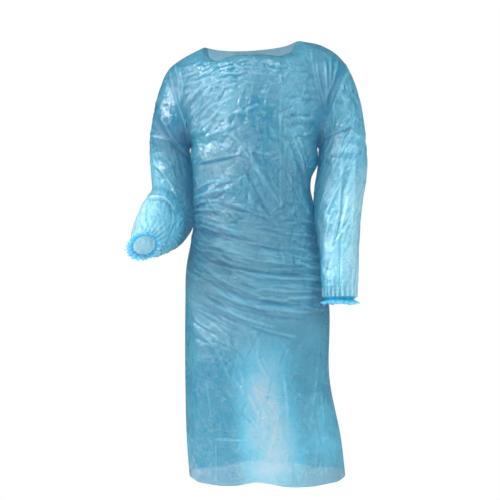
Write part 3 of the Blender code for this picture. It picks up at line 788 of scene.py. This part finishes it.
def body_panel(name, side, neck, drapes, folds, creases, crumples, material, chance):
    """Makes a body panel and returns its piece."""
    grid, free = panel(side, neck, drapes)
    outward, rise, sharp = creased(grid, -side, False, free, [(folds, creases, side)])
    distance = seam_distances(grid)
    loose = smooth_step(distance / CREASE_FADE)
    facing = side * outward[..., 1]
    sharp = (sharp + crumpled(grid, crumples, facing, chance)) * loose
    grid = hem_lifted(grid + outward * (rise + sharp)[..., None], side)
    marks = {
        "weld": WELD_DEPTH * np.exp(-((distance / WELD_WIDTH) ** 2)),
        **painted_film_tones(grid[..., 2], rise + sharp),
        "slant": slanted(grid) * (side == FRONT),
    }
    return film_piece(name, grid, material, marks, closed=False, flip=side == BACK)


FILM_STOPS = (
    (0.00, "#00769c"),
    (0.20, "#148aae"),
    (0.40, "#4a96ae"),
    (0.60, "#58b3cf"),
    (0.80, "#84c2d7"),
    (1.00, "#b6cad6"),
)
body_film = blown_film(
    "blown_polyethylene_film", FILM_STOPS, "#3f93b6", relief=0.012, opacity=0.80, glow=0.34
)
smock_front = body_panel(
    "smock_front",
    FRONT,
    FRONT_NECK,
    FRONT_DRAPES,
    FRONT_FOLDS,
    FRONT_CREASES,
    FRONT_CRUMPLES,
    body_film,
    np.random.default_rng(11),
)
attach(smock_front, "root")
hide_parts("front")

# ---------------------------------------------------------------------------------------------
# Back panel. The same film as the front, cut with a shallower neck and without an opening, and
# heat-welded to it along the shoulders and the sides. It holds most of the spare width, which
# hangs in long upright folds below the waist.

BACK_NECK = (
    EdgePoint(0.00, -0.1170, 0.000, 0.005),
    EdgePoint(0.15, -0.0900, 0.040, 0.006),
    EdgePoint(0.50, 0.0000, 0.066, 0.009),
    EdgePoint(0.85, 0.0930, 0.040, 0.018),
    EdgePoint(1.00, 0.1170, 0.000, 0.022),
)
BACK_DRAPES = (
    Drape(0.16, 0.045, 0.004, 0.012),
    Drape(0.28, 0.040, -0.006, -0.012),
    Drape(0.40, 0.040, 0.008, 0.014),
    Drape(0.50, 0.035, -0.010, -0.014),
    Drape(0.61, 0.040, 0.008, 0.014),
    Drape(0.73, 0.040, -0.006, -0.013),
    Drape(0.85, 0.045, 0.004, 0.011),
)
BACK_FOLDS = (
    Fold(-0.150, -0.455, 0.150, -0.462, -0.012, 0.018, 0.009),
    Fold(-0.150, -0.480, 0.150, -0.486, -0.014, 0.016, -0.011),
    Fold(-0.150, -0.520, 0.155, -0.524, -0.018, 0.016, 0.009),
    Fold(-0.140, -0.570, 0.150, -0.575, -0.022, 0.016, -0.009),
    Fold(-0.175, -0.230, -0.060, -0.080, 0.010, 0.018, -0.009),
    Fold(0.180, -0.225, 0.070, -0.075, -0.010, 0.018, -0.009),
    Fold(-0.165, -0.270, -0.060, -0.170, 0.008, 0.018, 0.009),
    Fold(0.170, -0.265, 0.065, -0.165, -0.008, 0.018, 0.009),
    Fold(-0.080, -0.055, 0.085, -0.050, -0.018, 0.018, 0.007),
    Fold(-0.255, -0.200, -0.165, -0.290, 0.006, 0.015, -0.011),
    Fold(-0.260, -0.330, -0.170, -0.410, 0.006, 0.015, 0.011),
    Fold(0.275, -0.190, 0.180, -0.290, -0.006, 0.015, -0.011),
    Fold(0.285, -0.330, 0.180, -0.400, -0.006, 0.015, 0.009),
    Fold(0.235, -0.420, 0.225, -0.620, 0.004, 0.015, -0.011),
)
BACK_CREASES = (
    Fold(-0.150, -0.446, -0.020, -0.470, 0.004, 0.005, 0.0028),
    Fold(0.150, -0.450, 0.010, -0.476, -0.004, 0.005, 0.0028),
    Fold(-0.140, -0.490, 0.060, -0.504, -0.008, 0.004, 0.0030),
    Fold(0.150, -0.500, -0.040, -0.520, -0.006, 0.004, 0.0026),
    Fold(-0.130, -0.545, 0.120, -0.556, -0.014, 0.004, 0.0026),
    Fold(-0.170, -0.240, -0.080, -0.110, 0.008, 0.004, 0.0030),
    Fold(-0.160, -0.276, -0.070, -0.186, 0.006, 0.004, 0.0026),
    Fold(0.176, -0.240, 0.086, -0.110, -0.008, 0.004, 0.0030),
    Fold(0.166, -0.280, 0.070, -0.190, -0.006, 0.004, 0.0026),
    Fold(-0.090, -0.040, 0.000, -0.060, -0.004, 0.004, 0.0022),
    Fold(0.095, -0.034, 0.010, -0.056, 0.004, 0.004, 0.0022),
    Fold(0.002, -0.110, 0.000, -0.430, 0.000, 0.002, 0.0014),
    Fold(-0.060, -0.290, 0.060, -0.296, 0.004, 0.004, 0.0020),
)
BACK_CRUMPLES = (
    Crumples(160, -0.180, 0.180, -0.460, -0.020, 50, 70, 0.050, 0.0050, 0.0012),
    Crumples(60, -0.180, 0.180, -0.220, -0.020, 0, 24, 0.060, 0.0046, 0.0014),
    Crumples(110, -0.170, 0.180, -0.600, -0.400, 0, 16, 0.070, 0.0042, 0.0018),
    Crumples(70, -0.180, 0.190, -0.780, -0.560, 60, 40, 0.080, 0.0055, 0.0013),
    Crumples(90, -0.200, 0.240, -1.110, -0.700, 84, 18, 0.120, 0.0065, 0.0011),
    Crumples(60, -0.200, 0.240, -1.110, -0.700, 20, 60, 0.045, 0.0045, 0.0008),
)

smock_back = body_panel(
    "smock_back",
    BACK,
    BACK_NECK,
    BACK_DRAPES,
    BACK_FOLDS,
    BACK_CREASES,
    BACK_CRUMPLES,
    body_film,
    np.random.default_rng(23),
)
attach(smock_back, "root")
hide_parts("back")

# ---------------------------------------------------------------------------------------------
# Sleeves. Each is a tube of the same film, closed by one weld along its underside, widest at
# the armhole that it is welded into and gathered at the wrist. The left one is bent at the
# elbow with the forearm forward, and the right one hangs.

SLEEVE_COLUMNS = 180
SLEEVE_ROWS = 216
GATHERS = 22
GATHER_HEIGHT = 0.0020
GATHER_REACH = 0.022
GATHER_BUNCHES = 3
ARMHOLE_FADE = 0.12
CUFF_FADE = 0.10
SLEEVE_WELD_DEPTH = 0.3

# Rings of the sleeves after the armhole. lean lifts the outer end of a ring's width above its
# inner end, and pitch turns its depth from level towards the ground, in degrees.
SleeveRing = namedtuple("SleeveRing", "along x y height lean pitch half_width half_depth")
LEFT_RINGS = (
    SleeveRing(0.12, -0.2110, 0.003, -0.210, 50, 2, 0.072, 0.077),
    SleeveRing(0.25, -0.2146, 0.026, -0.276, 38, 6, 0.0725, 0.070),
    SleeveRing(0.38, -0.2146, 0.038, -0.344, 37, 14, 0.0727, 0.069),
    SleeveRing(0.52, -0.2120, 0.032, -0.414, 36, 28, 0.0685, 0.082),
    SleeveRing(0.65, -0.2220, -0.016, -0.443, 29, 40, 0.062, 0.096),
    SleeveRing(0.79, -0.2400, -0.080, -0.470, 14, 48, 0.057, 0.086),
    SleeveRing(0.91, -0.2560, -0.138, -0.500, -2, 51, 0.051, 0.062),
    SleeveRing(1.00, -0.2668, -0.184, -0.516, -10, 51, 0.037, 0.038),
)
RIGHT_RINGS = (
    SleeveRing(0.10, 0.2300, -0.002, -0.195, 52, 0, 0.087, 0.078),
    SleeveRing(0.22, 0.2365, -0.016, -0.270, 29, 1, 0.0725, 0.070),
    SleeveRing(0.36, 0.2320, -0.036, -0.351, 17, 4, 0.0720, 0.066),
    SleeveRing(0.51, 0.2241, -0.058, -0.436, 11, 8, 0.0635, 0.060),
    SleeveRing(0.69, 0.2245, -0.082, -0.531, 4, 11, 0.0520, 0.054),
    SleeveRing(0.88, 0.2243, -0.106, -0.612, 0, 9, 0.0474, 0.048),
    SleeveRing(1.00, 0.2240, -0.114, -0.650, 0, 6, 0.0440, 0.042),
)
# Tone of a sleeve along its outer side, and what its inner side and its back add. It is painted light
# and shade: paler where light comes through the sleeve, and deeper by the armhole, on the inner side
# towards the body and on the back, as painted shade.
SleeveLevel = namedtuple("SleeveLevel", "along outer inner behind")
LEFT_LEVELS = (
    SleeveLevel(0.00, 0.36, -0.30, 0.00),
    SleeveLevel(0.15, 0.24, -0.18, -0.05),
    SleeveLevel(0.30, 0.54, -0.34, -0.30),
    SleeveLevel(0.50, 0.80, -0.40, -0.60),
    SleeveLevel(0.70, 0.88, -0.40, -0.30),
    SleeveLevel(0.88, 1.06, -0.35, -0.10),
    SleeveLevel(1.00, 0.92, -0.20, 0.00),
)
RIGHT_LEVELS = (
    SleeveLevel(0.00, 0.52, -0.45, 0.00),
    SleeveLevel(0.15, 0.64, -0.55, -0.05),
    SleeveLevel(0.35, 0.90, -0.60, -0.10),
    SleeveLevel(0.60, 0.98, -0.55, -0.10),
    SleeveLevel(0.85, 0.98, -0.45, -0.10),
    SleeveLevel(1.00, 0.85, -0.30, 0.00),
)
SLEEVE_CRUMPLES = (
    Crumples(120, -0.300, 0.320, -0.320, -0.040, 60, 50, 0.040, 0.0034, 0.0014),
    Crumples(100, -0.300, 0.320, -0.480, -0.280, 80, 60, 0.040, 0.0036, 0.0012),
    Crumples(90, -0.300, 0.320, -0.670, -0.380, 88, 24, 0.060, 0.0036, 0.0012),
)


def ring_points(ring, side, around):
    """Points round one ring of a sleeve, from its outer side by way of the back."""
    x, y, height, lean, pitch, half_width, half_depth = ring
    lean, pitch = math.radians(lean), math.radians(pitch)
    width = np.array([side * math.cos(lean), 0.0, math.sin(lean)]) * half_width
    depth = np.array([0.0, math.cos(pitch), -math.sin(pitch)]) * half_depth
    angle = 2 * math.pi * around[:, None]
    return np.array([x, y, height]) + np.cos(angle) * width + np.sin(angle) * depth


def sleeve_rings(armhole, rings):
    """Table of a sleeve's rings with the armhole as its first."""
    run_x = armhole.side * (armhole.tip_x - armhole.underarm_x)
    run_z = armhole.tip_height - UNDERARM_HEIGHT
    first = SleeveRing(
        along=0.0,
        x=(armhole.tip_x + armhole.underarm_x) / 2,
        y=0.0,
        height=(armhole.tip_height + UNDERARM_HEIGHT) / 2,
        lean=math.degrees(math.atan2(run_z, run_x)),
        pitch=0.0,
        half_width=math.hypot(run_x, run_z) / 2,
        half_depth=ARMHOLE_HALF_DEPTH,
    )
    return (first,) + rings


def sleeve_piece(name, armhole, rings, tones, material, chance):
    """Makes a sleeve, with the folds and creases that run on from the panels, crumples of its
    own and gathers at the wrist."""
    around = np.arange(SLEEVE_COLUMNS) / SLEEVE_COLUMNS
    along = np.linspace(0.0, 1.0, SLEEVE_ROWS + 1)
    table = sleeve_rings(armhole, rings)
    grid = np.array([ring_points(ring, armhole.side, around) for ring in curve_through(table, along)])
    free = smooth_step(along / ARMHOLE_FADE) * smooth_step((1 - along) / CUFF_FADE)
    sets = [(FRONT_FOLDS, FRONT_CREASES, FRONT), (BACK_FOLDS, BACK_CREASES, BACK)]
    outward, rise, sharp = creased(grid, -armhole.side, True, free[:, None], sets)
    down = np.linalg.norm(np.diff(grid.mean(axis=1), axis=0), axis=1).cumsum()
    down = np.concatenate([[0.0], down])[:, None]
    loose = smooth_step(down / CREASE_FADE) * smooth_step((down[-1] - down) / CREASE_FADE)

    # crumples are strewn over the tube as opened along its weld, so that none lies across it
    across_weld = SLEEVE_COLUMNS // 2
    from_weld = np.roll(grid, across_weld, axis=1)
    crumples = crumpled(from_weld, SLEEVE_CRUMPLES, np.ones(rise.shape), chance)
    around_it = np.linalg.norm(np.diff(grid, axis=1), axis=2).sum(axis=1)[:, None]
    to_weld = np.abs(around - 0.5) * around_it
    crumples = np.roll(crumples, -across_weld, axis=1) * smooth_step(to_weld / CREASE_FADE)
    sharp = (sharp + crumples) * loose

    # gathers that run up from the cuff and bunch together round it
    gathers = np.cos(2 * math.pi * GATHERS * around + np.sin(2 * math.pi * GATHER_BUNCHES * around))
    gathers = gathers * GATHER_HEIGHT * np.exp(-(down[-1] - down) / GATHER_REACH)
    rise = rise + sharp + gathers
    grid = grid + outward * rise[..., None]

    # painted light along the sleeve, and painted shade on its inner side and its back
    levels = curve_through(tones, along)
    inner_painted_shade = (0.5 - 0.5 * np.cos(2 * math.pi * around)) ** 2
    back_painted_shade = np.clip(np.sin(2 * math.pi * around), 0, 1)
    level = levels[:, :1] + levels[:, 1:2] * inner_painted_shade + levels[:, 2:] * back_painted_shade
    marks = {
        "weld": SLEEVE_WELD_DEPTH * np.exp(-((np.minimum(to_weld, down) / WELD_WIDTH) ** 2)),
        "tone": np.clip(level + painted_fold_shade(rise, closed=True), 0, 1),
    }
    return film_piece(name, grid, material, marks, closed=True, flip=armhole.side == RIGHT)


# The sleeves' film is a brighter copy of the body's: its palest stops are a clearer cyan, painted
# light coming through the sleeves from behind.
SLEEVE_STOPS = FILM_STOPS[:-2] + ((0.80, "#7ed0e8"), (1.00, "#b6e8f3"))
sleeve_film = blown_film(
    "blown_polyethylene_film_painted_backlight", SLEEVE_STOPS, "#3f93b6", relief=0.012, opacity=0.80, glow=0.30
)
smock_sleeves = []
for word, armhole, rings, tones, seed in (
    ("left", LEFT_ARMHOLE, LEFT_RINGS, LEFT_LEVELS, 31),
    ("right", RIGHT_ARMHOLE, RIGHT_RINGS, RIGHT_LEVELS, 37),
):
    chance = np.random.default_rng(seed)
    piece = sleeve_piece(f"smock_sleeve_{word}", armhole, rings, tones, sleeve_film, chance)
    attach(piece, "root")
    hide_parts(f"sleeve_{word}")
    smock_sleeves.append(piece)

# ---------------------------------------------------------------------------------------------
# Cuffs. The end of each sleeve is shirred over a thin covered elastic that draws it in round
# the wrist, and the film past the elastic stands out in a small uneven ruffle.

CUFF_LENGTH = 0.017
CUFF_ROWS = 20
POINTS_TO_A_WAVE = 14
RUFFLE_HEIGHT = 0.0032
RUFFLE_UNEVENNESS = 0.45
# Painted light and shade on the ruffle: its tone is paler where its waves stand out and deeper where
# they sink in, more so towards the edge
RUFFLE_PAINTED_SHADING = 0.3
EDGE_DROOP = 0.0016
DROOP_AT_WAVES = 0.4

# Waves round a cuff: the ruffle's own, lesser ones across them, where both bunch up, and where
# the edge droops
Waves = namedtuple("Waves", "count strength")
RUFFLE = Waves(22, 0.75)
LESSER_RUFFLE = Waves(9, 0.3)
WIDE_BUNCHES = Waves(3, 1.3)
SMALL_BUNCHES = Waves(5, 0.7)
DROOPS = 7

# Run of a cuff from the sleeve, by way of its elastic, to the ruffle's edge: how much wider it
# is than the sleeve's end, how deep its ruffle is, its tone and how much the elastic shows.
CuffStep = namedtuple("CuffStep", "along wider ruffle tone elastic")
CUFF_RUN = (
    CuffStep(0.00, 0.0000, 0.35, 0.55, 0.0),
    CuffStep(0.18, -0.0045, 0.40, 0.35, 0.1),
    CuffStep(0.34, -0.0085, 0.35, 0.12, 0.9),
    CuffStep(0.46, -0.0080, 0.40, 0.15, 0.8),
    CuffStep(0.64, -0.0030, 0.70, 0.45, 0.1),
    CuffStep(0.82, 0.0020, 0.95, 0.62, 0.0),
    CuffStep(1.00, 0.0062, 1.10, 0.92, 0.0),
)


def cuff_piece(name, armhole, rings, material):
    """Makes a cuff on a sleeve's last ring, drawn in by its elastic, with its edge in a ruffle."""
    last = np.array(rings[-1][1:])
    before = np.array(rings[-2][1:])
    axis = (last - before)[:3]
    axis = axis / np.linalg.norm(axis)
    around = np.arange(POINTS_TO_A_WAVE * RUFFLE.count) / (POINTS_TO_A_WAVE * RUFFLE.count)
    turn = 2 * math.pi * around
    height = RUFFLE_HEIGHT * (1 - RUFFLE_UNEVENNESS * np.sin(turn + armhole.side) ** 2)
    bunching = WIDE_BUNCHES.strength * np.sin(WIDE_BUNCHES.count * turn)
    bunching += SMALL_BUNCHES.strength * np.sin(SMALL_BUNCHES.count * turn + armhole.side)
    wave = RUFFLE.strength * np.cos(RUFFLE.count * turn + bunching)
    wave += LESSER_RUFFLE.strength * np.cos(LESSER_RUFFLE.count * turn + 2 * bunching)
    droop = np.cos(DROOPS * turn + bunching)
    droop = EDGE_DROOP * (droop + DROOP_AT_WAVES * np.sin(RUFFLE.count * turn + bunching))
    share = np.linspace(0.0, 1.0, CUFF_ROWS + 1)
    run = curve_through(CUFF_RUN, share)
    rows = []
    for place, (wider, ruffle, _, _) in zip(share, run):
        ring = last.copy()
        ring[:3] += axis * CUFF_LENGTH * place
        ring[5:] += wider
        points = ring_points(ring, armhole.side, around)
        outward = points - ring[:3]
        outward = outward / np.linalg.norm(outward, axis=1, keepdims=True)
        stands_out = outward * (wave * height * ruffle)[:, None]
        rows.append(points + stands_out + axis * (droop * place**2)[:, None])
    marks = {
        "weld": run[:, 3:4],
        # tone: painted light and shade of the ruffle's waves
        "tone": np.clip(run[:, 2:3] + RUFFLE_PAINTED_SHADING * wave * share[:, None], 0, 1),
    }
    flip = armhole.side == RIGHT
    return film_piece(name, np.array(rows), material, marks, closed=True, flip=flip)


CUFF_STOPS = (
    (0.00, "#0a9fcf"),
    (0.50, "#26bde6"),
    (1.00, "#8ee0f4"),
)
cuff_film = blown_film(
    "shirred_polyethylene_film", CUFF_STOPS, "#0790c2", relief=0.006, opacity=0.88, glow=0.3
)
for word, armhole, rings, sleeve in (
    ("left", LEFT_ARMHOLE, LEFT_RINGS, smock_sleeves[0]),
    ("right", RIGHT_ARMHOLE, RIGHT_RINGS, smock_sleeves[1]),
):
    piece = cuff_piece(f"smock_cuff_{word}", armhole, rings, cuff_film)
    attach(piece, "root")
    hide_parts(f"cuff_{word}")

# ---------------------------------------------------------------------------------------------
# Plain studio: a pale floor under the smock, a white surround, and soft lights.

FLOOR_HEIGHT = -1.45
FLOOR_RADIUS = 1.5

bpy.ops.mesh.primitive_circle_add(
    vertices=96, radius=FLOOR_RADIUS, fill_type="NGON", location=(0, 0, FLOOR_HEIGHT)
)
floor = bpy.context.object
floor.name = "studio_floor"

# Rolled matt paint: no gloss, and a faint grain that is drawn 17 mm coarse, since the real one
# is too fine to show
paint = bpy.data.materials.new("matt_white_floor_paint")
paint.use_nodes = True
tree = paint.node_tree
grain = add_node(tree, "ShaderNodeTexNoise", values={"Scale": 60.0, "Detail": 4.0})
tints = {6: linear("#f6f6f6"), 7: linear("#fafafa")}
shade = add_node(tree, "ShaderNodeMix", MIX_COLOURS, tints, {0: grain})
shader = tree.nodes["Principled BSDF"]
shader.inputs["Roughness"].default_value = 0.9
tree.links.new(shade.outputs[2], shader.inputs["Base Color"])
floor.data.materials.append(paint)

# The surround is white to the camera. It is dim in the film's gloss, where soft boxes stand out.
SURROUND_SEEN = 1.0
SURROUND_LIGHT = 0.38
SURROUND_MIRRORED = 0.10
WHITE = (1, 1, 1, 1)

world = bpy.data.worlds.new("white_surround")
bpy.context.scene.world = world
world.use_nodes = True
tree = world.node_tree
tree.nodes.clear()
path = add_node(tree, "ShaderNodeLightPath")
shown, lit, dim = (
    add_node(tree, "ShaderNodeBackground", values={"Color": WHITE, "Strength": strength})
    for strength in (SURROUND_SEEN, SURROUND_LIGHT, SURROUND_MIRRORED)
)
glossy, seen = path.outputs["Is Glossy Ray"], path.outputs["Is Camera Ray"]
unseen = add_node(tree, "ShaderNodeMixShader", feeds={0: glossy, 1: lit, 2: dim})
both = add_node(tree, "ShaderNodeMixShader", feeds={0: seen, 1: unseen, 2: shown})
add_node(tree, "ShaderNodeOutputWorld", feeds={"Surface": both})

# Soft boxes, all aimed at the middle of the smock. Only the mirrored ones show in its gloss.
SoftBox = namedtuple("SoftBox", "name place width height watts mirrored")
AIM = (0.0, 0.0, -0.5)
for box in (
    SoftBox("key_left", (-1.9, -2.3, 0.9), 0.6, 0.9, 50, True),
    SoftBox("strip_left", (-2.7, -0.8, 0.7), 0.6, 1.4, 80, True),
    SoftBox("strip_above", (0.2, -1.6, 1.7), 1.4, 0.4, 24, True),
    SoftBox("fill_right", (2.4, -1.8, 0.7), 0.8, 1.2, 42, False),
    SoftBox("strip_right", (2.4, -1.8, 0.4), 0.5, 0.7, 14, True),
    SoftBox("rim_back_left", (-1.8, 1.8, 0.2), 1.0, 1.8, 40, False),
    SoftBox("rim_back_right", (1.8, 1.8, 0.0), 1.0, 1.8, 44, False),
):
    lamp = bpy.data.lights.new(box.name, "AREA")
    lamp.shape = "RECTANGLE"
    lamp.size = box.width
    lamp.size_y = box.height
    lamp.energy = box.watts
    holder = bpy.data.objects.new(box.name, lamp)
    holder.location = box.place
    holder.visible_glossy = box.mirrored
    away = np.array(box.place) - np.array(AIM)
    pan = math.atan2(away[1], away[0])
    tilt = math.atan2(away[2], math.hypot(away[0], away[1]))
    holder.rotation_euler = (math.pi / 2 - tilt, 0.0, pan + math.pi / 2)
    bpy.context.scene.collection.objects.link(holder)

CAMERA_PLACE = (-0.005, -3.2, -0.53)
CAMERA_LENS = 86.94
camera_data = bpy.data.cameras.new("studio_camera")
camera_data.lens = CAMERA_LENS
camera_data.sensor_width = 36.0
camera = bpy.data.objects.new("studio_camera", camera_data)
camera.location = CAMERA_PLACE
camera.rotation_euler = (math.pi / 2, 0.0, 0.0)
bpy.context.scene.collection.objects.link(camera)
bpy.context.scene.camera = camera
bpy.context.scene.view_settings.view_transform = "Standard"
bpy.context.scene.view_settings.look = "None"
